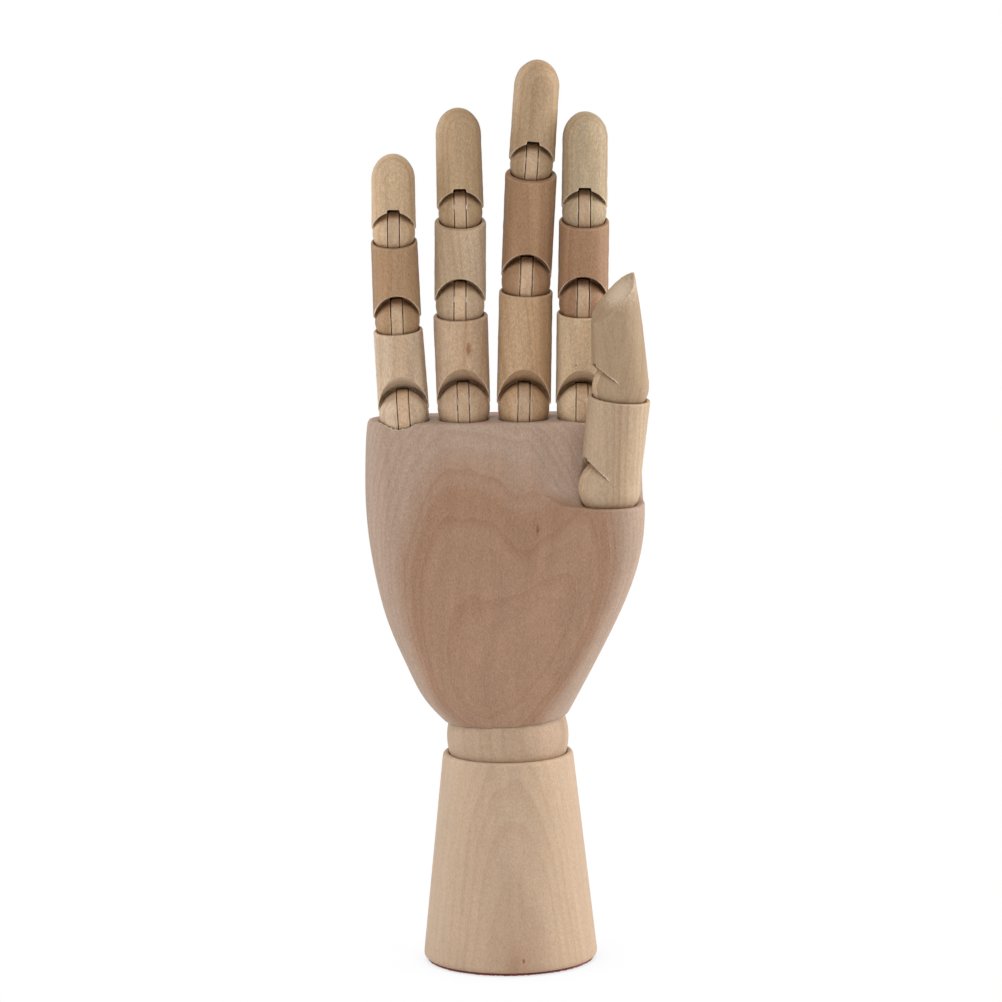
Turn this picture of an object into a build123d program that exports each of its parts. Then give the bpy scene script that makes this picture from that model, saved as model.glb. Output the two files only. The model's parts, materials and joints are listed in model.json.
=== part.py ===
from build123d import *
from dataclasses import dataclass
from math import cos, radians, sin, tan
import os

# A jointed wooden model of a right hand on a turned forearm. Millimetres, +Z up.
# The origin is the centre of the base's underside. The palm side faces -Y, and the
# thumb side is +X. Every finger joint is a slotted ball that turns in a cup on a
# wooden tongue, and a spring through the wrist pulls the palm down onto its ball.

# ---- driving dimensions ------------------------------------------------------------

FELT_THICKNESS = 0.7
FELT_RADIUS = 28.3
BASE_RADIUS = 29.5
BASE_TOP_RADIUS = 21.9
BASE_TOP = 71.4
BASE_EDGE_ROUND = 1.6
LIP_ROUND = 1.2
CENTRE_BORE_RADIUS = 6.0
ANCHOR_GROOVE = (26.0, 3.0, 5.0)
ANCHOR_PIN_RADIUS = 1.25
ANCHOR_PIN_LENGTH = 25.0

WRIST_CENTRE = 76.7
WRIST_BALL_RADIUS = 20.5
WRIST_GAP = 0.2
WRIST_FLARE_RADIUS = 8.5
WRIST_FLARE_DEPTH = 7.0

SPRING_RADIUS = 3.4
SPRING_WIRE_RADIUS = 0.6
SPRING_BOTTOM = 13.0
SPRING_TOP = 94.0
SPRING_TURNS = 18
HOOK_RADIUS = 2.4
EYE_CENTRE = 102.6
EYE_RADIUS = 3.0
EYE_WIRE_RADIUS = 0.9
EYE_SHANK_LENGTH = 12.0

PALM_TOP = 185.3
PALM_RIM_HEIGHT = 83.25
PALM_RIM_TILT = 3.3
PALM_BORE_TOP = 108.0
PALM_TOP_ROUND = 1.6
LEDGE_HEIGHT = 158.7
RECESS_LEFT = 6.0
RECESS_RIGHT = 60.0
RECESS_FRONT = -60.0
RECESS_LEAD_IN = 0.7
RECESS_LEAD_LENGTH = 10.0
RECESS_FOOT_ROUND = 8.0
THUMB_TROUGH_GAP = 1.6

# The clearances and small features that every finger joint shares.
CUP_GAP = 0.35
SCOOP_GAP = 0.15
SLOT_WIDTH = 4.1
SLOT_NOTCH = 1.2
SLOT_POCKET_GAP = 0.3
SLOT_BACK_HEIGHT = -2.0
TONGUE_THICKNESS = 3.3
TONGUE_GAP = 0.15
SHANK_WIDTH = 8.0
SHANK_DEPTH = 8.0
GLUE_GAP = 0.05
PIN_RADIUS = 1.0
PIN_INSET = 1.6
PIN_END_GAP = 0.1
PIN_CHEEK_GAP = 0.02
PIN_TONGUE_GAP = 0.05
FOOT_CHAMFER = 0.5
ROUND = 0.5523  # handle length that makes a Bezier curve a quarter of an ellipse
CUP_RIM_ROUND = 0.5

KNUCKLE_SCOOP_TILT = 26.0
MIDDLE_SCOOP_TILT = 10.0
END_SCOOP_TILT = 2.0
MIDDLE_RIM_SLOPE = 7.0
END_RIM_SLOPE = 14.0

FINGER_Y = -2.5


@dataclass
class Finger:
    """One finger: its knuckle, then a value for each segment from the knuckle up."""

    name: str
    knuckle_x: float
    knuckle_z: float
    leans: tuple
    lengths: tuple
    ball_radii: tuple
    foot_radii: tuple
    head_radii: tuple


FINGERS = [
    Finger("little", -33.2, 187.2, (-3.1, -1.4, 0.2), (31.5, 29.6, 26.5),
           (8.4, 7.55, 7.2), (8.6, 8.1, 7.5), (8.3, 7.8, 7.3)),
    Finger("ring", -13.2, 189.0, (-1.2, 1.0, -0.7), (34.6, 31.2, 35.0),
           (8.8, 8.17, 7.4), (9.0, 8.65, 7.9), (9.2, 8.65, 7.6)),
    Finger("middle", 6.8, 188.7, (1.8, 3.4, 4.5), (42.7, 39.1, 35.1),
           (8.67, 8.3, 7.2), (9.15, 8.45, 7.7), (9.0, 8.7, 7.6)),
    Finger("index", 26.2, 188.4, (1.3, 1.5, 1.35), (35.4, 30.7, 33.5),
           (8.47, 8.1, 7.5), (8.8, 8.5, 7.7), (8.8, 8.45, 7.6)),
]

THUMB_KNUCKLE = (34.9, -20.5, 164.4)
THUMB_FACING = 20.0
THUMB_OUTWARD = 6.6
THUMB_FORWARD = 3.5
THUMB_BEND = 10.0
THUMB_LENGTHS = (34.4, 39.0)
THUMB_BALL_RADII = (10.4, 9.5)
THUMB_FOOT_RADII = (10.1, 9.6)
THUMB_HEAD_RADII = (10.5, 7.7)
THUMB_FOOT_START = 0.0
THUMB_SCOOP_DROP = 1.3
THUMB_SLOT_BACK_HEIGHT = 4.0
THUMB_SCOOP = (END_SCOOP_TILT, THUMB_SCOOP_DROP, THUMB_SLOT_BACK_HEIGHT)
THUMB_PAD_HEIGHT = 30.9
THUMB_PAD_SLOPE = 43.0
THUMB_NAIL_TURN = 25.0
THUMB_NAIL_START = 20.0
THUMB_NAIL_LEAN = 6.5

JOINT_NAMES = ("knuckle", "mid_joint", "end_joint")
SEGMENT_NAMES = ("lower_segment", "middle_segment", "tip_segment")


# ---- frames ------------------------------------------------------------------------


def finger_frames(finger):
    """The pivot frame of each segment: +Z along it, -Y its palm side, X its pin."""
    frames = []
    x, z = finger.knuckle_x, finger.knuckle_z
    for lean, length in zip(finger.leans, finger.lengths):
        side, up = sin(radians(lean)), cos(radians(lean))
        frames.append(Plane((x, FINGER_Y, z), x_dir=(up, 0, -side), z_dir=(side, 0, up)))
        x, z = x + length * side, z + length * up
    return frames


def thumb_frames():
    """The thumb's two pivot frames. Its palm side faces the fingers."""
    facing = radians(THUMB_FACING)
    rise = Vector(tan(radians(THUMB_OUTWARD)), -tan(radians(THUMB_FORWARD)), 1).normalized()
    lower = Plane(THUMB_KNUCKLE, x_dir=(sin(facing), -cos(facing), 0), z_dir=rise)
    bent = lower.z_dir.rotate(Axis((0, 0, 0), lower.x_dir), THUMB_BEND)
    upper = Plane(lower.origin + lower.z_dir * THUMB_LENGTHS[0], x_dir=lower.x_dir, z_dir=bent)
    return [lower, upper]


def face_plane(frame):
    """Sketch plane across the palm side: x is the frame's X and y is its Z."""
    return Plane(frame.origin, x_dir=frame.x_dir, z_dir=-frame.y_dir)


def pin_plane(frame):
    """Sketch plane square to the pin: x is the frame's Y and y is its Z."""
    return Plane(frame.origin, x_dir=frame.y_dir, z_dir=frame.x_dir)


def scoop_plane(frame, tilt):
    """Plane at the pivot that looks out of the palm side, tilted up."""
    out = frame.z_dir * sin(radians(tilt)) - frame.y_dir * cos(radians(tilt))
    return Plane(frame.origin, x_dir=frame.x_dir, z_dir=out)


def rim_plane(frame, length, head_radius, slope):
    """Plane of a cup's rim, a little under the next pivot and lower at the palm side."""
    up = frame.z_dir * cos(radians(slope)) - frame.y_dir * sin(radians(slope))
    middle = frame.origin + frame.z_dir * (length - 0.35 * head_radius)
    return Plane(middle, x_dir=frame.x_dir, z_dir=up)


# ---- pieces of a finger joint --------------------------------------------------------


def make_tongue(frame, ball_radius):
    """Flat wooden tongue: a disc inside the ball's slot and a shank glued in below."""
    disc_radius = ball_radius - TONGUE_GAP
    with BuildPart() as tongue:
        with BuildSketch(pin_plane(frame)):
            Circle(disc_radius)
            with Locations((0, -(ball_radius + SHANK_DEPTH) / 2)):
                Rectangle(SHANK_WIDTH, ball_radius + SHANK_DEPTH)
            Circle(PIN_RADIUS + PIN_TONGUE_GAP, mode=Mode.SUBTRACT)
        extrude(amount=TONGUE_THICKNESS / 2, both=True)
    return tongue.part


def make_pin(frame, ball_radius):
    """Cross pin, set below the ball's surface at both ends and plugged over."""
    with BuildPart() as pin:
        with BuildSketch(pin_plane(frame)):
            Circle(PIN_RADIUS)
        extrude(amount=ball_radius - PIN_INSET, both=True)
    return pin.part


def cut_mortise(frame, ball_radius):
    """Cut the pocket under a pivot that takes the tongue's shank."""
    depth = ball_radius + SHANK_DEPTH + GLUE_GAP
    with BuildSketch(pin_plane(frame)) as pocket:
        with Locations((0, -depth / 2)):
            Rectangle(SHANK_WIDTH + 2 * GLUE_GAP, depth)
    extrude(pocket.sketch, amount=TONGUE_THICKNESS / 2 + GLUE_GAP, both=True, mode=Mode.SUBTRACT)


def cut_cup(frame, ball_radius):
    """Cut the round cup and the mortise that hold the next segment's ball and tongue."""
    with Locations(frame.location):
        Sphere(ball_radius + CUP_GAP, mode=Mode.SUBTRACT)
    cut_mortise(frame, ball_radius)


def shape_foot(frame, foot_radius, ball_radius, scoop_tilt, scoop_drop=0.0, slot_back=SLOT_BACK_HEIGHT):
    """Scoop the palm side, add the ball, and cut its slot and pin hole.

    scoop_drop is how far the scoop's centre is below the pivot, and slot_back is the
    height where the slot's back closes.
    """
    reach = 2.5 * foot_radius
    with BuildSketch(scoop_plane(frame, scoop_tilt)) as scoop:
        with Locations((0, -scoop_drop)):
            Circle(ball_radius + SCOOP_GAP)
    extrude(scoop.sketch, amount=reach, mode=Mode.SUBTRACT)
    with Locations(frame.location):
        Sphere(ball_radius)
    cut_slot(frame, ball_radius, reach, ball_radius - scoop_drop + SLOT_NOTCH, slot_back)
    with BuildSketch(pin_plane(frame)) as pin_hole:
        Circle(PIN_RADIUS + PIN_CHEEK_GAP)
    hole_reach = ball_radius - PIN_INSET + PIN_END_GAP
    extrude(pin_hole.sketch, amount=hole_reach, both=True, mode=Mode.SUBTRACT)


def cut_slot(frame, ball_radius, reach, front_height, back_height):
    """Cut the tongue's slot: sawn in from the palm side, round inside, closed at the back."""
    with BuildSketch(pin_plane(frame)) as slot:
        Circle(ball_radius - TONGUE_GAP + SLOT_POCKET_GAP)
        with Locations((0, (back_height - reach) / 2)):
            Rectangle(2 * reach, back_height + reach)
        with Locations((-reach / 2, (front_height - reach) / 2)):
            Rectangle(reach, front_height + reach)
    extrude(slot.sketch, amount=SLOT_WIDTH / 2, both=True, mode=Mode.SUBTRACT)


def foot_points(foot_radius, start=None):
    """Lower corners of a segment's turned profile, from just over the pivot by default."""
    foot = 0.15 * foot_radius if start is None else start
    return [(0, foot), (foot_radius - FOOT_CHAMFER, foot), (foot_radius, foot + FOOT_CHAMFER)]


def make_link(frame, next_frame, length, radii, balls, scoop, rim_slope, foot_start=None):
    """Segment with a ball below and a cup above. radii and balls are (lower, upper).

    scoop is the scoop's tilt and, on the thumb, its drop and the slot's back height.
    """
    foot_radius, head_radius = radii
    with BuildPart() as link:
        with BuildSketch(face_plane(frame)):
            with BuildLine():
                Polyline(*foot_points(foot_radius, foot_start), (head_radius, length), (0, length),
                         close=True)
            make_face()
        revolve(axis=Axis(frame.origin, frame.z_dir))
        rim = rim_plane(frame, length, head_radius, rim_slope)
        split(bisect_by=rim, keep=Keep.BOTTOM)
        fillet(link.edges().sort_by(Axis(rim.origin, rim.z_dir))[-1], CUP_RIM_ROUND)
        shape_foot(frame, foot_radius, balls[0], *scoop)
        cut_cup(next_frame, balls[1])
    return link.part


def make_tip(frame, length, radii, ball_radius, scoop_tilt):
    """Fingertip: a ball below and a rounded end that is a little longer than it is wide."""
    foot_radius, head_radius = radii
    dome = 1.2 * head_radius
    with BuildPart() as tip:
        with BuildSketch(face_plane(frame)):
            with BuildLine():
                Polyline((0, length), *foot_points(foot_radius), (head_radius, length - dome))
                Bezier((head_radius, length - dome), (head_radius, length - dome * (1 - ROUND)),
                       (head_radius * ROUND, length), (0, length))
            make_face()
        revolve(axis=Axis(frame.origin, frame.z_dir))
        shape_foot(frame, foot_radius, ball_radius, scoop_tilt)
    return tip.part


def half_space(origin, outward):
    """A big block that lies on the far side of a plane, for cutting facets."""
    side = 4 * THUMB_HEAD_RADII[1]
    with BuildPart(Plane(origin, z_dir=outward), mode=Mode.PRIVATE) as block:
        Box(2 * side, 2 * side, side, align=(Align.CENTER, Align.CENTER, Align.MIN))
    return block.part


def make_thumb_tip(frame):
    """Thumb tip: tapered, cut on a slant for the pad and shaved flat for the nail."""
    length = THUMB_LENGTHS[1]
    foot_radius, head_radius = THUMB_FOOT_RADII[1], THUMB_HEAD_RADII[1]
    slope = radians(THUMB_PAD_SLOPE)
    pad = half_space(frame.origin + frame.z_dir * THUMB_PAD_HEIGHT,
                     frame.z_dir * cos(slope) - frame.y_dir * sin(slope))
    nail_side = frame.y_dir.rotate(Axis((0, 0, 0), frame.z_dir), -THUMB_NAIL_TURN)
    lean = radians(THUMB_NAIL_LEAN)
    shrink = (foot_radius - head_radius) * THUMB_NAIL_START / length
    nail = half_space(frame.origin + frame.z_dir * THUMB_NAIL_START + nail_side * (foot_radius - shrink),
                      nail_side * cos(lean) + frame.z_dir * sin(lean))
    with BuildPart() as tip:
        with BuildSketch(face_plane(frame)):
            with BuildLine():
                Polyline(*foot_points(foot_radius, THUMB_FOOT_START), (head_radius, length), (0, length),
                         close=True)
            make_face()
        revolve(axis=Axis(frame.origin, frame.z_dir))
        add(pad, mode=Mode.SUBTRACT)
        add(nail, mode=Mode.SUBTRACT)
        shape_foot(frame, foot_radius, THUMB_BALL_RADII[1], *THUMB_SCOOP)
    return tip.part


# ---- palm ----------------------------------------------------------------------------

# Each level of the palm: height, left, right, front and back half-sizes, the power of
# its rounded outline, and the thumb mound's radius and how far forward its centre is.
# MOUND_FLANK is the width of the mound's slope towards the palm, in mound radii.
PALM_LEVELS = [
    (79.0, 18.6, 17.6, 17.8, 17.8, 2.0, 17.6, 0.0),
    (84.0, 22.9, 20.3, 20.8, 20.6, 2.0, 20.3, 0.0),
    (90.0, 27.9, 23.4, 21.8, 21.2, 2.1, 20.0, 1.8),
    (100.0, 33.0, 28.3, 21.2, 20.4, 2.2, 17.6, 6.2),
    (115.0, 39.3, 35.4, 19.6, 19.0, 2.3, 15.0, 12.2),
    (130.0, 43.3, 41.6, 18.0, 17.4, 2.4, 13.0, 17.2),
    (145.0, 45.7, 45.6, 16.6, 16.0, 2.5, 12.0, 20.0),
    (158.7, 46.6, 46.5, 15.4, 14.9, 2.6, 11.6, 20.5),
    (172.0, 46.4, 46.4, 14.4, 14.0, 2.7, 11.6, 20.5),
    (186.0, 45.1, 45.4, 12.4, 13.0, 2.8, 11.6, 20.5),
]
MOUND_FLANK = 2.3


def smooth_rise(value):
    """Runs from 0 to 1 with level ends."""
    value = min(max(value, 0.0), 1.0)
    return value * value * (3 - 2 * value)


def rounded_depth(x, half_width, half_depth, power):
    """Depth at x of an outline between an ellipse (power 2) and a rectangle."""
    return half_depth * (1 - min(abs(x) / half_width, 1) ** power) ** (1 / power)


def palm_outline(left, right, front, back, power, mound_radius, mound_forward):
    """Closed outline of one palm level, from the little-finger side round by the front."""
    mound_x = right - mound_radius
    mound_front = mound_forward + mound_radius
    mound_rise = mound_front - rounded_depth(mound_x, right, front, power)
    flank = MOUND_FLANK * mound_radius
    points = [(-left, 0)]
    for step in (0.06, 0.16, 0.32, 0.5, 0.66, 0.82, 1.0):
        x = -left + step * (left + mound_x)
        base = rounded_depth(x, left if x < 0 else right, front, power)
        points.append((x, -base - mound_rise * smooth_rise((x - mound_x + flank) / flank)))
    for turn in (-60, -30, 0):
        x = mound_x + mound_radius * cos(radians(turn))
        points.append((x, mound_radius * sin(radians(turn)) - mound_forward))
    points.append((0.995 * right, (0.35 * back - mound_forward) / 2))
    for share in (0.93, 0.78, 0.5, 0.0, -0.5, -0.78, -0.93):
        half_width = right if share > 0 else left
        points.append((share * half_width, rounded_depth(share, 1, back, power)))
    return points


def make_palm(knuckles, thumb_knuckle):
    """Palm block with the wrist socket, the thumb's recess and a cup for each knuckle."""
    with BuildPart() as palm:
        for height, *sizes in PALM_LEVELS:
            with BuildSketch(Plane.XY.offset(height)):
                with BuildLine():
                    Spline(*palm_outline(*sizes), periodic=True)
                make_face()
        loft()
        rim_up = (-sin(radians(PALM_RIM_TILT)), 0, cos(radians(PALM_RIM_TILT)))
        split(bisect_by=Plane((0, 0, PALM_RIM_HEIGHT), z_dir=rim_up), keep=Keep.TOP)
        split(bisect_by=Plane.XY.offset(PALM_TOP), keep=Keep.BOTTOM)
        fillet(palm.faces().sort_by(Axis.Z)[-1].edges(), PALM_TOP_ROUND)
        add(make_recess(), mode=Mode.SUBTRACT)
        add(make_trough(thumb_knuckle[0]), mode=Mode.SUBTRACT)
        with Locations((0, 0, WRIST_CENTRE)):
            Sphere(WRIST_BALL_RADIUS + WRIST_GAP, mode=Mode.SUBTRACT)
        with BuildSketch(Plane.XY.offset(WRIST_CENTRE)):
            Circle(CENTRE_BORE_RADIUS + 1)
        extrude(amount=PALM_BORE_TOP - WRIST_CENTRE, mode=Mode.SUBTRACT)
        with BuildSketch(Plane.XY.offset(EYE_CENTRE)):
            Circle(EYE_WIRE_RADIUS + GLUE_GAP)
        shank_top = EYE_CENTRE + EYE_RADIUS + EYE_SHANK_LENGTH
        extrude(amount=shank_top - EYE_CENTRE + GLUE_GAP, mode=Mode.SUBTRACT)
        for frame, ball_radius in knuckles + [thumb_knuckle]:
            cut_cup(frame, ball_radius)
    return palm.part


def palm_level(height):
    """The palm's sizes at a height between two of its levels."""
    for lower, upper in zip(PALM_LEVELS, PALM_LEVELS[1:]):
        if lower[0] <= height <= upper[0]:
            share = (height - lower[0]) / (upper[0] - lower[0])
            return [a + share * (b - a) for a, b in zip(lower, upper)]


def recess_wall(height, forward):
    """Back wall of the space over the thumb mound, which carries on the palm's front."""
    _, _, right, front, _, power, _, _ = palm_level(height)
    points = []
    for x in (RECESS_LEFT, 12, 19, 26, 33, 39, 43, right - 0.6):
        lead_in = RECESS_LEAD_IN * (1 - smooth_rise((x - RECESS_LEFT) / RECESS_LEAD_LENGTH))
        points.append((x, -rounded_depth(x, right, front, power) - forward - lead_in))
    return points


def make_recess():
    """Cutter for the space over the thumb mound: its wall has a wide round foot and a round top."""
    foot = [
        (LEDGE_HEIGHT + RECESS_FOOT_ROUND * (1 - cos(radians(turn))),
         RECESS_FOOT_ROUND * (1 - sin(radians(turn))))
        for turn in (0, 22.5, 45, 67.5, 90)
    ]
    brow = [
        (PALM_TOP - PALM_TOP_ROUND * (1 - sin(radians(turn))),
         -PALM_TOP_ROUND * (1 - cos(radians(turn))))
        for turn in (0, 45, 90)
    ]
    middle = (foot[-1][0] + brow[0][0]) / 2
    top = PALM_LEVELS[-1][0]
    with BuildPart(mode=Mode.PRIVATE) as recess:
        for height, forward in [*foot, (middle, 0), *brow, (top, -2 * PALM_TOP_ROUND)]:
            wall = recess_wall(height, forward)
            with BuildSketch(Plane.XY.offset(height)):
                with BuildLine():
                    Spline(*wall)
                    Polyline(wall[-1], (RECESS_RIGHT, wall[-1][1]), (RECESS_RIGHT, RECESS_FRONT),
                             (RECESS_LEFT, RECESS_FRONT), wall[0])
                make_face()
        loft()
    return recess.part


def make_trough(frame):
    """Cutter that follows the back of the thumb where it lies close to the palm."""
    with BuildPart(mode=Mode.PRIVATE) as trough:
        with BuildSketch(Plane(frame.origin, x_dir=frame.x_dir, z_dir=frame.z_dir)):
            Circle(THUMB_HEAD_RADII[0] + THUMB_TROUGH_GAP)
        extrude(amount=THUMB_LENGTHS[0])
    return trough.part


# ---- forearm and wrist -----------------------------------------------------------------


def make_forearm_base():
    """Turned cone with a rounded lip round the wrist cup and a groove for the anchor pin."""
    with BuildPart() as base:
        with BuildSketch(Plane.XZ):
            with BuildLine():
                Polyline((0, FELT_THICKNESS), (BASE_RADIUS, FELT_THICKNESS),
                         (BASE_TOP_RADIUS, BASE_TOP), (0, BASE_TOP), close=True)
            make_face()
        revolve(axis=Axis.Z)
        rings = base.edges().sort_by(Axis.Z)
        fillet(rings[-1], LIP_ROUND)
        fillet(base.edges().sort_by(Axis.Z)[0], BASE_EDGE_ROUND)
        with Locations((0, 0, WRIST_CENTRE)):
            Sphere(WRIST_BALL_RADIUS + WRIST_GAP, mode=Mode.SUBTRACT)
        with BuildSketch(Plane.XY.offset(FELT_THICKNESS)):
            Circle(CENTRE_BORE_RADIUS)
        extrude(amount=BASE_TOP, mode=Mode.SUBTRACT)
        length, width, depth = ANCHOR_GROOVE
        with BuildSketch(Plane.XY.offset(FELT_THICKNESS)):
            Rectangle(length, width)
        extrude(amount=depth, mode=Mode.SUBTRACT)
    return base.part


def make_base_felt():
    """Thin felt disc glued under the base."""
    with BuildPart() as felt:
        with BuildSketch():
            Circle(FELT_RADIUS)
        extrude(amount=FELT_THICKNESS)
    return felt.part


def anchor_height():
    """Height of the anchor pin's axis, at the top of its groove."""
    return FELT_THICKNESS + ANCHOR_GROOVE[2] - ANCHOR_PIN_RADIUS - GLUE_GAP


def make_anchor_pin():
    """Steel pin across the base's underside that holds the spring's lower end."""
    with BuildPart() as pin:
        with BuildSketch(Plane.YZ.offset(-ANCHOR_PIN_LENGTH / 2)):
            with Locations((0, anchor_height())):
                Circle(ANCHOR_PIN_RADIUS)
        extrude(amount=ANCHOR_PIN_LENGTH)
    return pin.part


def make_wrist_ball():
    """Turned wooden ball, bored through and flared so that the spring can bend."""
    top = WRIST_BALL_RADIUS
    throat = top - WRIST_FLARE_DEPTH
    with BuildPart() as ball:
        with Locations((0, 0, WRIST_CENTRE)):
            Sphere(WRIST_BALL_RADIUS)
        with BuildSketch(Plane((0, 0, WRIST_CENTRE), x_dir=(1, 0, 0), z_dir=(0, -1, 0))):
            with BuildLine():
                Polyline((0, -top), (WRIST_FLARE_RADIUS, -top), (CENTRE_BORE_RADIUS, -throat),
                         (CENTRE_BORE_RADIUS, throat), (WRIST_FLARE_RADIUS, top), (0, top), close=True)
            make_face()
        revolve(axis=Axis.Z, mode=Mode.SUBTRACT)
    return ball.part


def make_wrist_spring():
    """Stretched steel spring from the anchor pin to the palm's screw eye."""
    coil_length = SPRING_TOP - SPRING_BOTTOM
    steps_per_turn = 8
    coil = [
        Vector(
            SPRING_RADIUS * cos(radians(360 * step / steps_per_turn)),
            SPRING_RADIUS * sin(radians(360 * step / steps_per_turn)),
            SPRING_BOTTOM + coil_length * step / (steps_per_turn * SPRING_TURNS),
        )
        for step in range(steps_per_turn * SPRING_TURNS + 1)
    ]
    low = hook_points(anchor_height(), 1)
    high = hook_points(EYE_CENTRE - EYE_RADIUS, -1)
    with BuildPart() as spring:
        with BuildLine() as wire:
            Spline(*low, *coil, *reversed(high))
        with BuildSketch(Plane(wire.edges()[0] @ 0, z_dir=wire.edges()[0] % 0)):
            Circle(SPRING_WIRE_RADIUS)
        sweep(path=wire.edges()[0])
    return spring.part


def hook_points(centre_height, up):
    """Points of an open hook round a bar at centre_height, from its free end to its neck."""
    hook = [
        Vector(0, HOOK_RADIUS * sin(radians(turn)), centre_height - up * HOOK_RADIUS * cos(radians(turn)))
        for turn in (-110, -70, -35, 0, 35, 70, 110)
    ]
    neck = Vector(1.2, 1.2, centre_height + up * (HOOK_RADIUS + 1.6))
    return hook + [neck]


def make_screw_eye():
    """Steel screw eye in the top of the palm's bore."""
    with BuildPart() as eye:
        with Locations(Location((0, 0, EYE_CENTRE), (90, 0, 0))):
            Torus(EYE_RADIUS, EYE_WIRE_RADIUS)
        with BuildSketch(Plane.XY.offset(EYE_CENTRE + EYE_RADIUS)):
            Circle(EYE_WIRE_RADIUS)
        extrude(amount=EYE_SHANK_LENGTH)
    return eye.part


# ---- the whole hand --------------------------------------------------------------------


def save(piece, label):
    """Label a finished piece and write it as its own STEP file."""
    piece.label = label
    export_step(piece, f"parts/{label}.step")


def save_finger(finger):
    """Make and save one finger's segments, tongues and pins."""
    frames = finger_frames(finger)
    tilts = (KNUCKLE_SCOOP_TILT, MIDDLE_SCOOP_TILT, END_SCOOP_TILT)
    slopes = (MIDDLE_RIM_SLOPE, END_RIM_SLOPE)
    for i, frame in enumerate(frames):
        radii = (finger.foot_radii[i], finger.head_radii[i])
        if i < 2:
            piece = make_link(frame, frames[i + 1], finger.lengths[i], radii,
                              finger.ball_radii[i:i + 2], (tilts[i], 0), slopes[i])
        else:
            piece = make_tip(frame, finger.lengths[i], radii, finger.ball_radii[i], tilts[i])
        save(piece, f"{finger.name}_{SEGMENT_NAMES[i]}")
        save(make_tongue(frame, finger.ball_radii[i]), f"{finger.name}_{JOINT_NAMES[i]}_tongue")
        save(make_pin(frame, finger.ball_radii[i]), f"{finger.name}_{JOINT_NAMES[i]}_pin")


def save_thumb():
    """Make and save the thumb's two segments with their tongues and pins."""
    frames = thumb_frames()
    radii = (THUMB_FOOT_RADII[0], THUMB_HEAD_RADII[0])
    lower = make_link(frames[0], frames[1], THUMB_LENGTHS[0], radii, THUMB_BALL_RADII, THUMB_SCOOP, 0,
                      THUMB_FOOT_START)
    save(lower, "thumb_lower_segment")
    save(make_thumb_tip(frames[1]), "thumb_tip_segment")
    for frame, ball_radius, joint in zip(frames, THUMB_BALL_RADII, ("knuckle", "end_joint")):
        save(make_tongue(frame, ball_radius), f"thumb_{joint}_tongue")
        save(make_pin(frame, ball_radius), f"thumb_{joint}_pin")


def save_all():
    """Make and save every piece of the hand."""
    os.makedirs("parts", exist_ok=True)
    save(make_forearm_base(), "forearm_base")
    save(make_base_felt(), "base_felt")
    save(make_anchor_pin(), "spring_anchor_pin")
    save(make_wrist_ball(), "wrist_ball")
    save(make_wrist_spring(), "wrist_spring")
    save(make_screw_eye(), "palm_screw_eye")
    knuckles = [(finger_frames(finger)[0], finger.ball_radii[0]) for finger in FINGERS]
    save(make_palm(knuckles, (thumb_frames()[0], THUMB_BALL_RADII[0])), "palm")
    for finger in FINGERS:
        save_finger(finger)
    save_thumb()


save_all()
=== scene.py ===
import bpy
import json
import math
from mathutils import Matrix, Vector


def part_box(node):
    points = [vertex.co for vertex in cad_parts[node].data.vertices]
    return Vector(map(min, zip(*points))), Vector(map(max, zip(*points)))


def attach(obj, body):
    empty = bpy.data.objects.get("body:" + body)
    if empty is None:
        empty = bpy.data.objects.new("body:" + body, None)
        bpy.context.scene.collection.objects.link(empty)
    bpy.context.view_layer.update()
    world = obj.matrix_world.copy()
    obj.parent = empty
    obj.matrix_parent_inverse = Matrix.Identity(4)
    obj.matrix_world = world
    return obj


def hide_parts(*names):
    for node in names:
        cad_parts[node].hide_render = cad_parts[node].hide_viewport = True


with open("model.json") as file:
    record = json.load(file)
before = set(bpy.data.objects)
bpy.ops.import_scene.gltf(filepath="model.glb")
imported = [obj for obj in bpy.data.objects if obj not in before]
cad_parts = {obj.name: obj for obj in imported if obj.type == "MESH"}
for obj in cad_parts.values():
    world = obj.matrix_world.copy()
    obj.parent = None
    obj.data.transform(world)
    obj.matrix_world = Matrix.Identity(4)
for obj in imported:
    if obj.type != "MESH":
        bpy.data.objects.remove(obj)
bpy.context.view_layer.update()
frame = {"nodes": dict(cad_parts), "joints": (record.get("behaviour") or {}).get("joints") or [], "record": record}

# Scene lengths are metres, as in the frame. The inputs of the materials are in mm.
MM = 0.001
NODES = frame["nodes"]
JOINTS = {joint["name"]: joint for joint in frame["joints"]}
BODIES = frame["record"]["behaviour"]["bodies"]
BODY_OF = {node: body for body, nodes in BODIES.items() for node in nodes}
SLOT_OF = {part["node"]: part["material_slot"] for part in frame["record"]["subparts"]}


# ---- node helpers -----------------------------------------------------------------------


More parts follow.
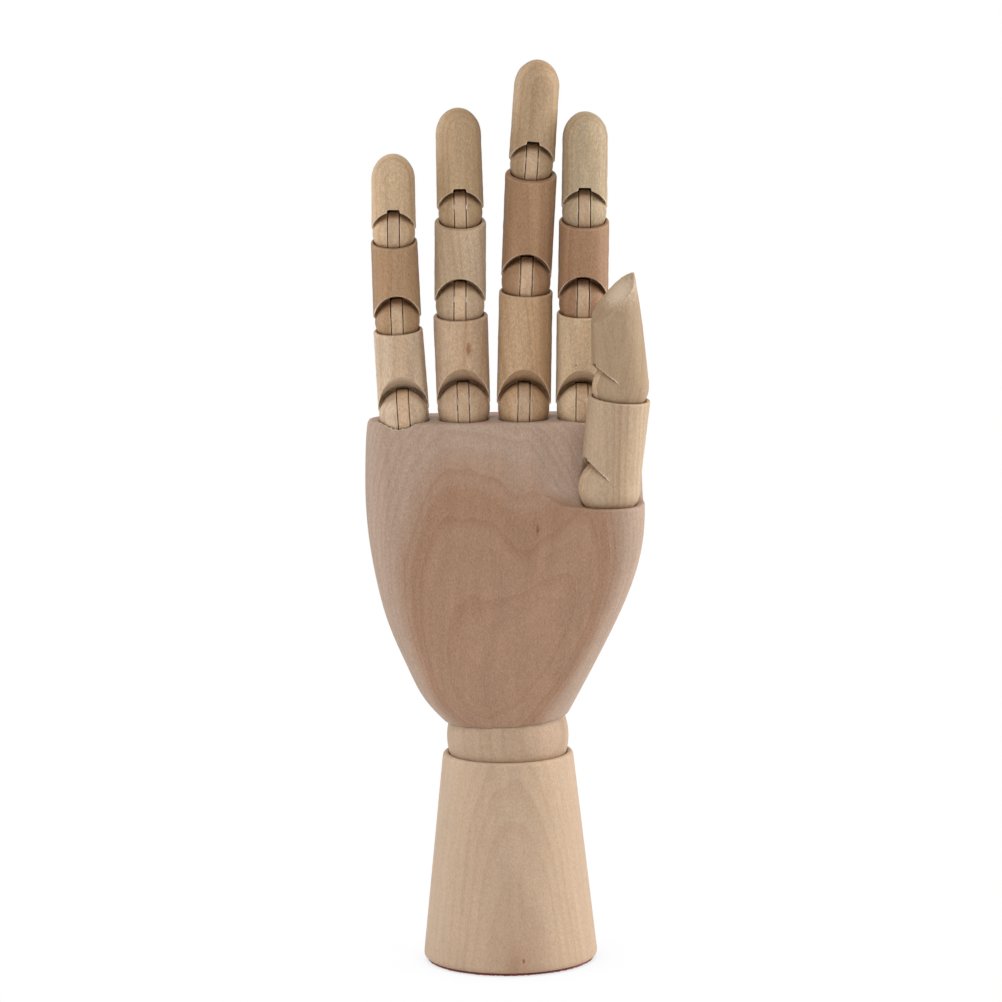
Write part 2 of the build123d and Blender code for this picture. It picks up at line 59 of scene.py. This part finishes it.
class Tree:
    """A node tree with short calls to add a node, set its inputs and join sockets."""

    def __init__(self, node_tree):
        self.node_tree = node_tree

    def add(self, kind, settings=None, **inputs):
        """Adds a node. Inputs are given by socket name, or by number as _0, _1 and so on."""
        node = self.node_tree.nodes.new(kind)
        for name, value in (settings or {}).items():
            setattr(node, name, value)
        for name, value in inputs.items():
            key = int(name[1:]) if name[0] == "_" else name.replace("_", " ")
            self.feed(node.inputs[key], value)
        return node

    def feed(self, socket, value):
        """Joins an output socket to an input, or sets the input to a plain value."""
        if isinstance(value, bpy.types.NodeSocket):
            self.node_tree.links.new(value, socket)
        elif isinstance(value, bpy.types.Node):
            self.node_tree.links.new(value.outputs[0], socket)
        else:
            socket.default_value = value

    def math(self, operation, a, b=0.0, c=0.0):
        return self.add("ShaderNodeMath", {"operation": operation}, _0=a, _1=b, _2=c).outputs[0]

    def vector(self, operation, a, b=(0, 0, 0), output=0):
        node = self.add("ShaderNodeVectorMath", {"operation": operation}, _0=a, _1=b)
        return node.outputs[output]

    def ramp(self, value, low, high, to_low=0.0, to_high=1.0):
        """Smoothly maps low..high to to_low..to_high."""
        node = self.add("ShaderNodeMapRange", {"interpolation_type": "SMOOTHSTEP"}, Value=value,
                        From_Min=low, From_Max=high, To_Min=to_low, To_Max=to_high)
        return node.outputs[0]

    def mix(self, share, a, b, blend="MIX"):
        """Mixes colour b over colour a. The node's sockets 6 and 7 are its colours."""
        node = self.add("ShaderNodeMix", {"data_type": "RGBA", "blend_type": blend}, _0=share, _6=a, _7=b)
        return node.outputs[2]

    def noise(self, vector, scale, detail, rough, seed):
        node = self.add("ShaderNodeTexNoise", {"noise_dimensions": "4D"}, Vector=vector, Scale=scale,
                        Detail=detail, Roughness=rough, W=seed)
        return node.outputs[0]

    def stretch(self, vector, x, y, z):
        """Scales a vector by a different amount along each axis."""
        return self.vector("MULTIPLY", vector, (x, y, z))

    def place_mm(self):
        """The place on the piece, in mm, which moves with the piece."""
        place = self.add("ShaderNodeTexCoord").outputs["Object"]
        return self.stretch(place, 1 / MM, 1 / MM, 1 / MM)

    def line(self, value):
        """A vector with a value along X alone, for noise that changes with that value."""
        return self.add("ShaderNodeCombineXYZ", _0=value, _1=0.0, _2=0.0).outputs[0]

    def grey(self, level):
        return self.add("ShaderNodeCombineColor", _0=level, _1=level, _2=level).outputs[0]


def new_material(name):
    """A material with an empty node tree."""
    material = bpy.data.materials.new(name)
    material.use_nodes = True
    material.node_tree.nodes.clear()
    return material, Tree(material.node_tree)


# ---- wood --------------------------------------------------------------------------------

WOOD_INPUTS = [
    ("Pith", "NodeSocketVector", (0, 0, 0)),        # a point on the log's centre line, mm
    ("Lean", "NodeSocketVector", (0, 0, 0)),        # turn of that line, radians
    ("Bow", "NodeSocketFloat", 0.0),                # mm the line bows at 100 mm along it
    ("Ring Gap", "NodeSocketFloat", 2.4),           # mm between growth rings
    ("Ring Strength", "NodeSocketFloat", 0.3),
    ("Wobble", "NodeSocketFloat", 1.2),             # mm the rings wander
    ("Heart Radius", "NodeSocketFloat", 0.0),       # mm, inside which the wood is darker
    ("Heart Edge", "NodeSocketFloat", 8.0),         # mm over which it darkens
    ("Sap", "NodeSocketColor", (0.5, 0.36, 0.24, 1)),
    ("Heart", "NodeSocketColor", (0.36, 0.22, 0.14, 1)),
    ("Streaks", "NodeSocketFloat", 0.5),            # strength of bands, fibres and speckle
    ("Mark", "NodeSocketVector", (0, 0, 0)),        # centre of a patch of another tone, mm
    ("Mark Size", "NodeSocketVector", (1, 1, 1)),   # its half-sizes, mm
    ("Mark Tone", "NodeSocketColor", (0.10, 0.05, 0.03, 1)),
    ("Seed", "NodeSocketFloat", 0.0),
]

# Tones are linear RGB, and a tint multiplies the tone under it.
RIM_TINT = (0.80, 0.70, 0.62, 1)
LATE_TINT = (0.80, 0.66, 0.56, 1)
PORE_TONE = (0.16, 0.085, 0.045, 1)
# The crevice tone, strength and reach below paint shade into hollows; the edge ones make rounded edges paler,
# partly as sanding wear and partly as a painted highlight.
CREVICE_SHADE_TONE = (0.20, 0.105, 0.055, 1)
EDGE_WEAR_AND_HIGHLIGHT_TONE = (0.70, 0.56, 0.42, 1)
RIM_STRENGTH = 0.35
PORE_STRENGTH = 0.22
CREVICE_SHADE_STRENGTH = 0.55
EDGE_WEAR_AND_HIGHLIGHT_STRENGTH = 0.7
BAND_SWING = 0.9
FIBRE_SWING = 0.6
GRIT_SWING = 2.7
CREVICE_SHADE_REACH = 2.2 * MM
EDGE_WEAR_AND_HIGHLIGHT_REACH = 0.5 * MM
GRAIN_HEIGHT = 0.06 * MM


def grain(tree, given, place, across, along, detail, rough, shift=0.0):
    """Noise that's drawn out along the log. across and along are its cycles per mm."""
    seed = tree.math("ADD", given["Seed"], shift)
    return tree.noise(tree.stretch(place, across, across, along), 1.0, detail, rough, seed)


def log_radius(tree, given, place):
    """Distance in mm from the bowed pith. It wanders slowly along the log and a little round it."""
    split = tree.add("ShaderNodeSeparateXYZ", _0=place).outputs
    along = tree.math("MULTIPLY", split["Z"], 0.01)
    bowed = tree.math("MULTIPLY_ADD", tree.math("MULTIPLY", along, along), given["Bow"], split["Y"])
    slow = grain(tree, given, place, across=0.035, along=0.012, detail=2.0, rough=0.5)
    quick = grain(tree, given, place, across=0.16, along=0.03, detail=1.0, rough=0.5, shift=7.3)
    quick = tree.math("SUBTRACT", quick, 0.5)
    drift = tree.math("MULTIPLY_ADD", tree.math("SUBTRACT", slow, 0.5), 4.0, quick)
    flat = tree.add("ShaderNodeCombineXYZ", _0=split["X"], _1=bowed, _2=0.0).outputs[0]
    radius = tree.vector("LENGTH", flat, output="Value")
    return tree.math("MULTIPLY_ADD", drift, given["Wobble"], radius)


def late_wood(tree, given, radius, edge):
    """Each ring darkens slowly outward and ends in a thin line. The lines fade deep in the heart."""
    turns = tree.math("DIVIDE", radius, given["Ring Gap"])
    uneven = tree.noise(tree.line(tree.math("MULTIPLY", turns, 0.31)), 1.0, 2.0, 0.6, given["Seed"])
    turns = tree.math("MULTIPLY_ADD", uneven, 1.8, turns)
    phase = tree.math("FRACT", turns)
    late = tree.math("MULTIPLY", tree.ramp(phase, 0.35, 0.93), tree.ramp(phase, 1.0, 0.93))
    weight = tree.noise(tree.line(tree.math("FLOOR", turns)), 0.77, 0.0, 0.5, given["Seed"])
    late = tree.math("MULTIPLY", late, tree.ramp(weight, 0.3, 0.7, 0.25, 1.0))
    return tree.math("MULTIPLY", late, tree.ramp(edge, -11.0, -4.0, 0.35, 1.0))


def ringed(tree, given, edge, late):
    """Sapwood and darker heart, the thin dark line where they meet, and the rings."""
    heart = tree.ramp(tree.math("DIVIDE", edge, given["Heart Edge"]), 1.0, 0.0)
    colour = tree.mix(heart, given["Sap"], given["Heart"])
    rim = tree.math("MULTIPLY", tree.ramp(edge, -2.5, 0.0), tree.ramp(edge, 0.9, 0.0))
    dark = tree.mix(1.0, given["Heart"], RIM_TINT, "MULTIPLY")
    colour = tree.mix(tree.math("MULTIPLY", rim, RIM_STRENGTH), colour, dark)
    warm = tree.mix(1.0, colour, LATE_TINT, "MULTIPLY")
    return tree.mix(tree.math("MULTIPLY", late, given["Ring Strength"]), colour, warm)


def mark_strength(tree, given, spot):
    """Strength of a dark flaw or a pale patch: uneven, and strongest in its middle."""
    off = tree.vector("DIVIDE", tree.vector("SUBTRACT", spot, given["Mark"]), given["Mark Size"])
    reach = tree.vector("LENGTH", off, output="Value")
    ragged = tree.noise(tree.stretch(spot, 1.6, 1.6, 0.8), 1.0, 2.0, 0.6, 3.0)
    reach = tree.math("MULTIPLY_ADD", tree.math("SUBTRACT", ragged, 0.5), 1.2, reach)
    return tree.ramp(reach, 1.0, 0.25, 0.0, 0.8)


def crevice_shade_and_pale_edges(tree, colour):
    """Paints shade into the crevices and makes the sanded edges paler, partly as wear and partly as a painted
    highlight along the rounded edges.
    """
    # Painted shade: darker in the piece's own crevices and hollows, where shade falls.
    hollow = tree.add("ShaderNodeAmbientOcclusion", {"samples": 4, "only_local": True},
                      Distance=CREVICE_SHADE_REACH).outputs["AO"]
    colour = tree.mix(tree.ramp(hollow, 0.75, 0.15, 0.0, CREVICE_SHADE_STRENGTH), colour, CREVICE_SHADE_TONE)
    # Paler edges: partly sanding wear, partly a painted highlight where the rounded edges catch the light.
    thin = tree.add("ShaderNodeAmbientOcclusion", {"samples": 4, "only_local": True, "inside": True},
                    Distance=EDGE_WEAR_AND_HIGHLIGHT_REACH).outputs["AO"]
    return tree.mix(tree.ramp(thin, 0.92, 0.45, 0.0, EDGE_WEAR_AND_HIGHLIGHT_STRENGTH), colour, EDGE_WEAR_AND_HIGHLIGHT_TONE)


def wood_group():
    """Solid sanded hardwood: rings round a pith, a darker heart, fibres, pores, painted shade in the crevices, and
    edges paled partly by handling wear and partly by a painted highlight.
    """
    group = bpy.data.node_groups.new("sanded_wood", "ShaderNodeTree")
    for name, kind, value in WOOD_INPUTS:
        socket = group.interface.new_socket(name, in_out="INPUT", socket_type=kind)
        socket.default_value = value
    group.interface.new_socket("Shader", in_out="OUTPUT", socket_type="NodeSocketShader")
    tree = Tree(group)
    given = tree.add("NodeGroupInput").outputs
    spot = tree.place_mm()
    place = tree.add("ShaderNodeVectorRotate", {"rotation_type": "EULER_XYZ"}, Rotation=given["Lean"],
                     Vector=tree.vector("SUBTRACT", spot, given["Pith"])).outputs[0]
    radius = log_radius(tree, given, place)
    edge = tree.math("SUBTRACT", radius, given["Heart Radius"])
    late = late_wood(tree, given, radius, edge)

    # Fibres: broad tone bands, fine long streaks, speckle, and short pore dashes.
    bands = grain(tree, given, place, across=0.22, along=0.012, detail=3.0, rough=0.55, shift=3.1)
    fibres = grain(tree, given, place, across=2.8, along=0.13, detail=3.0, rough=0.6, shift=5.7)
    grit = grain(tree, given, place, across=2.2, along=1.2, detail=3.0, rough=0.75, shift=9.9)
    pores = tree.ramp(grain(tree, given, place, across=3.6, along=0.7, detail=1.0, rough=0.5), 0.60, 0.74)

    tone = 1.0
    for pattern, strength in ((bands, BAND_SWING), (fibres, FIBRE_SWING), (grit, GRIT_SWING)):
        swing = tree.math("MULTIPLY", tree.math("SUBTRACT", pattern, 0.5), strength)
        tone = tree.math("MULTIPLY_ADD", swing, given["Streaks"], tone)
    colour = tree.mix(1.0, ringed(tree, given, edge, late), tree.grey(tone), "MULTIPLY")
    colour = tree.mix(tree.math("MULTIPLY", pores, PORE_STRENGTH), colour, PORE_TONE)
    colour = tree.mix(mark_strength(tree, given, spot), colour, given["Mark Tone"])
    # Painted crevice shade, and pale edges that are partly wear and partly a painted highlight.
    colour = crevice_shade_and_pale_edges(tree, colour)

    height = tree.math("MULTIPLY_ADD", fibres, 0.5, tree.math("MULTIPLY", grit, 0.5))
    height = tree.math("MULTIPLY_ADD", pores, -0.45, height)
    height = tree.math("MULTIPLY_ADD", late, 0.35, height)
    bump = tree.add("ShaderNodeBump", Strength=0.35, Distance=GRAIN_HEIGHT, Height=height)
    rough = tree.math("MULTIPLY_ADD", grit, 0.16, 0.50)
    shader = tree.add("ShaderNodeBsdfPrincipled", Base_Color=colour, Roughness=rough, Normal=bump,
                      Specular_IOR_Level=0.28, Subsurface_Weight=0.06, Subsurface_Scale=1.0,
                      Subsurface_Radius=(1.4 * MM, 0.8 * MM, 0.4 * MM))
    tree.add("NodeGroupOutput", _0=shader)
    return group


WOOD = wood_group()


def wood(name, **values):
    """A material that cuts one piece from the shared wood, with its own log and tones."""
    material, tree = new_material(name)
    node = tree.add("ShaderNodeGroup", {"node_tree": WOOD})
    for key, value in values.items():
        socket = node.inputs[key.replace("_", " ").title()]
        socket.default_value = (*value, 1) if socket.type == "RGBA" else value
    tree.add("ShaderNodeOutputMaterial", Surface=node)
    return material


# ---- steel and felt ------------------------------------------------------------------------


def steel():
    """Drawn steel wire: fine lengthwise scratches and faint dulling."""
    material, tree = new_material("drawn_steel")
    place = tree.place_mm()
    scratch = tree.noise(tree.stretch(place, 0.5, 6.0, 6.0), 1.0, 3.0, 0.6, 1.0)
    stain = tree.noise(place, 0.5, 3.0, 0.6, 4.0)
    bright, dull = (0.56, 0.56, 0.57, 1), (0.33, 0.31, 0.29, 1)
    colour = tree.mix(tree.ramp(stain, 0.4, 0.75), bright, dull)
    rough = tree.math("MULTIPLY_ADD", scratch, 0.22, 0.24)
    bump = tree.add("ShaderNodeBump", Strength=0.25, Distance=0.02 * MM, Height=scratch)
    shader = tree.add("ShaderNodeBsdfPrincipled", Base_Color=colour, Roughness=rough, Metallic=1.0,
                      Normal=bump)
    tree.add("ShaderNodeOutputMaterial", Surface=shader)
    return material


def felt():
    """Pressed wool felt: matted fibres in mottled red."""
    material, tree = new_material("pressed_felt")
    place = tree.place_mm()
    fibre = tree.noise(tree.stretch(place, 2.2, 2.2, 4.0), 1.0, 5.0, 0.75, 2.0)
    mottle = tree.noise(place, 0.35, 3.0, 0.6, 6.0)
    dark, light, shade = (0.17, 0.022, 0.018, 1), (0.42, 0.075, 0.055, 1), (0.10, 0.016, 0.014, 1)
    colour = tree.mix(tree.ramp(fibre, 0.35, 0.7), dark, light)
    colour = tree.mix(tree.math("MULTIPLY", mottle, 0.35), colour, shade)
    bump = tree.add("ShaderNodeBump", Strength=0.8, Distance=0.25 * MM, Height=fibre)
    shader = tree.add("ShaderNodeBsdfPrincipled", Base_Color=colour, Roughness=0.95, Normal=bump,
                      Sheen_Weight=0.5, Specular_IOR_Level=0.15)
    tree.add("ShaderNodeOutputMaterial", Surface=shader)
    return material


# ---- refined pieces ------------------------------------------------------------------------


def clouds(name, size):
    """A cloud texture whose puffs are about size across."""
    texture = bpy.data.textures.new(name, "CLOUDS")
    texture.noise_scale = size
    return texture


DIPS = clouds("dips", 3.2 * MM)
DIPS.noise_depth = 1


def displaced(piece, name, texture, middle, strength):
    """Moves a piece's surface in and out by a texture. Where the texture is at middle, it stays."""
    modifier = piece.modifiers.new(name, "DISPLACE")
    modifier.texture = texture
    modifier.texture_coords = "LOCAL"
    modifier.mid_level = middle
    modifier.strength = strength


def refined(node, voxel, passes, material, name=None, waver=0.0):
    """A sanded copy of a CAD node: remeshed finely, with its sharp edges eased by hand-sanding.

    voxel is the remeshing size in mm and passes is how often the surface is smoothed. waver is how
    many mm the hand-worked surface dips, always inward.
    """
    source = NODES[node]
    piece = bpy.data.objects.new(name or f"{node}_wood", source.data.copy())
    bpy.context.scene.collection.objects.link(piece)
    weld = piece.modifiers.new("weld", "WELD")
    weld.merge_threshold = 0.002 * MM
    remesh = piece.modifiers.new("remesh", "REMESH")
    remesh.mode = "VOXEL"
    remesh.voxel_size = voxel * MM
    smooth = piece.modifiers.new("sand", "SMOOTH")
    smooth.factor = 0.5
    smooth.iterations = passes
    if waver:
        displaced(piece, "dips", DIPS, 1.0, waver * MM)
    graph = bpy.context.evaluated_depsgraph_get()
    mesh = bpy.data.meshes.new_from_object(piece.evaluated_get(graph))
    piece.modifiers.clear()
    piece.data = mesh
    mesh.materials.clear()
    mesh.materials.append(material)
    mesh.shade_smooth()
    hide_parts(node)
    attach(piece, BODY_OF[node])
    return piece


# Each finger segment is cut from its own billet, so each has its own tones, in linear RGB.
# The ring finger's mark is a knot, the index finger's is a speck, and the thumb's is a pale pad.
SEGMENTS = {
    "little_tip_segment": dict(sap=(0.60, 0.45, 0.30), heart=(0.52, 0.37, 0.23)),
    "little_middle_segment": dict(sap=(0.38, 0.237, 0.131), heart=(0.33, 0.20, 0.105)),
    "little_lower_segment": dict(sap=(0.61, 0.48, 0.354), heart=(0.52, 0.39, 0.27)),
    "ring_tip_segment": dict(sap=(0.485, 0.35, 0.216), heart=(0.40, 0.275, 0.16)),
    "ring_middle_segment": dict(sap=(0.513, 0.381, 0.261), heart=(0.43, 0.31, 0.20)),
    "ring_lower_segment": dict(sap=(0.522, 0.372, 0.254), heart=(0.45, 0.31, 0.20),
                               mark=(-11.2, -10.5, 210), mark_size=(1.2, 6, 3.2),
                               mark_tone=(0.26, 0.09, 0.04)),
    "middle_tip_segment": dict(sap=(0.464, 0.338, 0.214), heart=(0.39, 0.27, 0.16)),
    "middle_middle_segment": dict(sap=(0.382, 0.238, 0.136), heart=(0.33, 0.195, 0.108)),
    "middle_lower_segment": dict(sap=(0.49, 0.326, 0.193), heart=(0.42, 0.27, 0.152)),
    "index_tip_segment": dict(sap=(0.50, 0.405, 0.276), heart=(0.41, 0.31, 0.197)),
    "index_middle_segment": dict(sap=(0.374, 0.225, 0.13), heart=(0.32, 0.184, 0.104)),
    "index_lower_segment": dict(sap=(0.563, 0.419, 0.271), heart=(0.48, 0.34, 0.21),
                                mark=(24.4, -10.5, 204), mark_size=(0.45, 6, 0.45)),
    "thumb_lower_segment": dict(sap=(0.478, 0.356, 0.24), heart=(0.43, 0.31, 0.205)),
    "thumb_tip_segment": dict(sap=(0.40, 0.29, 0.183), heart=(0.355, 0.25, 0.155),
                              mark=(37.5, -27, 232), mark_size=(9, 12, 9),
                              mark_tone=(0.66, 0.53, 0.40)),
}


def centre_mm(node):
    """Middle of a node's box, in mm."""
    low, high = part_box(node)
    return (low + high) / 2 / MM


def make_segments():
    """Finger and thumb segments, each with its own log position and tones.

    The tips are flat-sawn, so that their rounded ends show nested arcs. The number of a segment
    turns its log round it, moves it nearer or farther and leans it, so that no two look alike.
    """
    for number, (node, tones) in enumerate(SEGMENTS.items()):
        middle = centre_mm(node)
        flat_sawn = "tip" in node
        turn = -math.pi / 2 + 0.35 * math.sin(2.4 * number) if flat_sawn else 2.4 * number
        away = 26 + 9 * ((number * 7) % 5)
        pith = (middle.x + away * math.cos(turn), middle.y + away * math.sin(turn), middle.z)
        lean = (0.10 * math.sin(3.1 * number), 0.10 * math.cos(1.7 * number), 0)
        gap = 1.5 if flat_sawn else 2.2 + 0.35 * (number % 4)
        streaks = 0.34 if "thumb" in node else 0.5
        material = wood(f"wood_{node}", pith=pith, lean=lean, ring_gap=gap, ring_strength=0.44,
                        wobble=1.0, heart_radius=away - 3, heart_edge=9, streaks=streaks,
                        seed=11.3 * number, **tones)
        refined(node, 0.25, 3, material, waver=0.16)


TONGUE_SAP = (0.56, 0.39, 0.25)
HEART_SHARE = 0.82                # a tongue's heart tone as a share of its sap tone
DISC_THICKENING = 0.17            # added share of a tongue's thickness
THICKENING_END = 0.1 * MM         # how far past the disc's rim the thickening ends
THICKENING_FADE = 0.8 * MM        # the length over which it fades out


def fill_slot(tongue, joint):
    """Thickens a tongue's disc about its middle, so that it nearly fills the slot it turns in."""
    pivot = Vector(joint["pos_m"])
    pin = Vector(joint["axis"]).normalized()
    disc = max(corner.co.z for corner in tongue.data.vertices) - pivot.z
    for corner in tongue.data.vertices:
        out = corner.co - pivot
        across = out.dot(pin)
        reach = (out - across * pin).length
        share = min(max((disc + THICKENING_END - reach) / THICKENING_FADE, 0), 1)
        corner.co += pin * across * DISC_THICKENING * share


def make_tongues():
    """Flat tongues, sawn with the grain along them, each a little lighter or darker."""
    tongues = sorted(node for node in NODES if node.endswith("_tongue"))
    for number, node in enumerate(tongues):
        middle = centre_mm(node)
        shade = 0.80 + 0.2 * ((number * 5) % 7) / 6
        sap = tuple(shade * level for level in TONGUE_SAP)
        heart = tuple(HEART_SHARE * level for level in sap)
        material = wood(f"wood_{node}", pith=(middle.x + 12, middle.y + 24, middle.z),
                        lean=(0.05, 0.04, 0), ring_gap=1.7, ring_strength=0.4, wobble=0.8,
                        heart_radius=22, heart_edge=8, streaks=0.5, seed=5.9 * number + 60,
                        sap=sap, heart=heart)
        fill_slot(refined(node, 0.25, 2, material), JOINTS[node.removesuffix("_tongue")])


def make_palm():
    """Palm block, with its darker heart and a small dark flaw in the middle of the front."""
    material = wood("wood_palm", pith=(-13, -82, 128), lean=(math.radians(-1.0), 0, 0), bow=20,
                    ring_gap=2.0, ring_strength=0.44, wobble=1.3, heart_radius=69.5, heart_edge=7,
                    streaks=0.42, seed=31.0, sap=(0.39, 0.278, 0.21), heart=(0.34, 0.203, 0.13),
                    mark=(10.9, -24, 150), mark_size=(0.8, 14, 2.6))
    refined("palm", 0.5, 8, material)


def make_base():
    """Turned base, with a small dark flaw near its foot."""
    material = wood("wood_base", pith=(3, -64, 30), lean=(math.radians(-3.5), math.radians(2), 0),
                    bow=10, ring_gap=3.4, ring_strength=0.22, wobble=1.4, heart_radius=34,
                    heart_edge=6, streaks=0.3, seed=42.0, sap=(0.472, 0.338, 0.232),
                    heart=(0.425, 0.288, 0.193), mark=(4.3, -29, 5.2), mark_size=(0.6, 6, 1.1))
    refined("forearm_base", 0.5, 6, material)


def make_ball():
    """Wooden ball that the palm turns on."""
    material = wood("wood_ball", pith=(-30, 34, 76), lean=(0.12, 0.05, 0), ring_gap=2.8,
                    ring_strength=0.25, wobble=1.2, heart_radius=30, heart_edge=8, streaks=0.36,
                    seed=57.0, sap=(0.423, 0.296, 0.20), heart=(0.38, 0.256, 0.172))
    refined("wrist_ball", 0.45, 4, material)


def make_felt():
    """Felt under the base, with a fuzzy edge."""
    pad = refined("base_felt", 0.3, 3, felt(), "base_felt_pad")
    displaced(pad, "fuzz", clouds("felt_fuzz", 1.1 * MM), 0.75, 0.35 * MM)


def make_metal():
    """Pins, spring, anchor pin and screw eye keep their CAD shape and take the steel."""
    material = steel()
    for node, piece in NODES.items():
        if SLOT_OF[node] == "steel":
            piece.data.materials.clear()
            piece.data.materials.append(material)


make_palm()
make_base()
make_ball()
make_felt()
make_segments()
make_tongues()
make_metal()


# ---- stage -----------------------------------------------------------------------------------

CAMERA_HEIGHT = math.radians(9.7)
CAMERA_DISTANCE = 2.2
CAMERA_ROLL = math.radians(0.79)
CAMERA_LENS = 235.7
CAMERA_AIM = Vector((-0.0012, 0, 0.1568))
FLOOR_HALF = 9.0
FLOOR_DROP = 0.2 * MM
SHADE_REACH = 0.05
SHADE_TONE = 0.72
LIGHT_AIM = Vector((0, 0, 0.17))
LIGHTS = [        # name, place, width and height, watts and colour
    ("key", Vector((-0.2, -1.3, 1.6)), (0.8, 0.8), 15, (1, 1, 1)),
    ("right", Vector((1.2, 0.2, 0.6)), (0.5, 1.2), 15, (1.0, 0.98, 0.95)),
    ("left", Vector((-1.2, 0.35, 0.6)), (0.5, 1.2), 8, (0.97, 0.98, 1.0)),
]
ROOM_STRENGTH = 0.55
WHITE = (1, 1, 1, 1)


def make_floor():
    """Plain near-white floor, with only a soft shade where the object meets it."""
    material, tree = new_material("floor")
    near = tree.add("ShaderNodeAmbientOcclusion", {"samples": 8}, Distance=SHADE_REACH).outputs["AO"]
    seen = tree.add("ShaderNodeEmission", Color=tree.grey(tree.ramp(near, 0.0, 0.8, SHADE_TONE, 1.0)))
    lit = tree.add("ShaderNodeBsdfDiffuse", Color=(0.9, 0.9, 0.9, 1))
    camera_ray = tree.add("ShaderNodeLightPath").outputs["Is Camera Ray"]
    both = tree.add("ShaderNodeMixShader", _0=camera_ray, _1=lit, _2=seen)
    tree.add("ShaderNodeOutputMaterial", Surface=both)
    mesh = bpy.data.meshes.new("floor")
    signs = ((-1, -1), (1, -1), (1, 1), (-1, 1))
    corners = [(x * FLOOR_HALF, y * FLOOR_HALF, -FLOOR_DROP) for x, y in signs]
    mesh.from_pydata(corners, [], [(0, 1, 2, 3)])
    mesh.materials.append(material)
    floor = bpy.data.objects.new("floor", mesh)
    bpy.context.scene.collection.objects.link(floor)


def make_lights():
    """Soft studio light: a broad key above and in front, and side strips."""
    for name, place, size, power, colour in LIGHTS:
        data = bpy.data.lights.new(name, "AREA")
        data.shape = "RECTANGLE"
        data.size, data.size_y = size
        data.energy = power
        data.color = colour
        light = bpy.data.objects.new(name, data)
        light.location = place
        light.rotation_euler = (LIGHT_AIM - place).to_track_quat("-Z", "Y").to_euler()
        bpy.context.scene.collection.objects.link(light)


def make_room():
    """A bright room that lights the object softly and is seen as plain white."""
    world = bpy.data.worlds.new("studio")
    bpy.context.scene.world = world
    world.use_nodes = True
    world.node_tree.nodes.clear()
    tree = Tree(world.node_tree)
    camera_ray = tree.add("ShaderNodeLightPath").outputs["Is Camera Ray"]
    room = tree.add("ShaderNodeBackground", Color=WHITE, Strength=ROOM_STRENGTH)
    view = tree.add("ShaderNodeBackground", Color=WHITE, Strength=1.0)
    both = tree.add("ShaderNodeMixShader", _0=camera_ray, _1=room, _2=view)
    tree.add("ShaderNodeOutputWorld", Surface=both)


def make_camera():
    """Camera at the product-shot angle, in front of the palm and a little above it."""
    data = bpy.data.cameras.new("camera")
    data.sensor_width = 36
    data.lens = CAMERA_LENS
    data.clip_end = 50
    camera = bpy.data.objects.new("camera", data)
    back = Vector((0, -math.cos(CAMERA_HEIGHT), math.sin(CAMERA_HEIGHT)))
    turn = (-back).to_track_quat("-Z", "Y").to_matrix().to_4x4()
    roll = Matrix.Rotation(-CAMERA_ROLL, 4, "Z")
    camera.matrix_world = Matrix.Translation(CAMERA_AIM + back * CAMERA_DISTANCE) @ turn @ roll
    bpy.context.scene.collection.objects.link(camera)
    bpy.context.scene.camera = camera


make_floor()
make_lights()
make_room()
make_camera()
bpy.context.scene.view_settings.view_transform = "Standard"
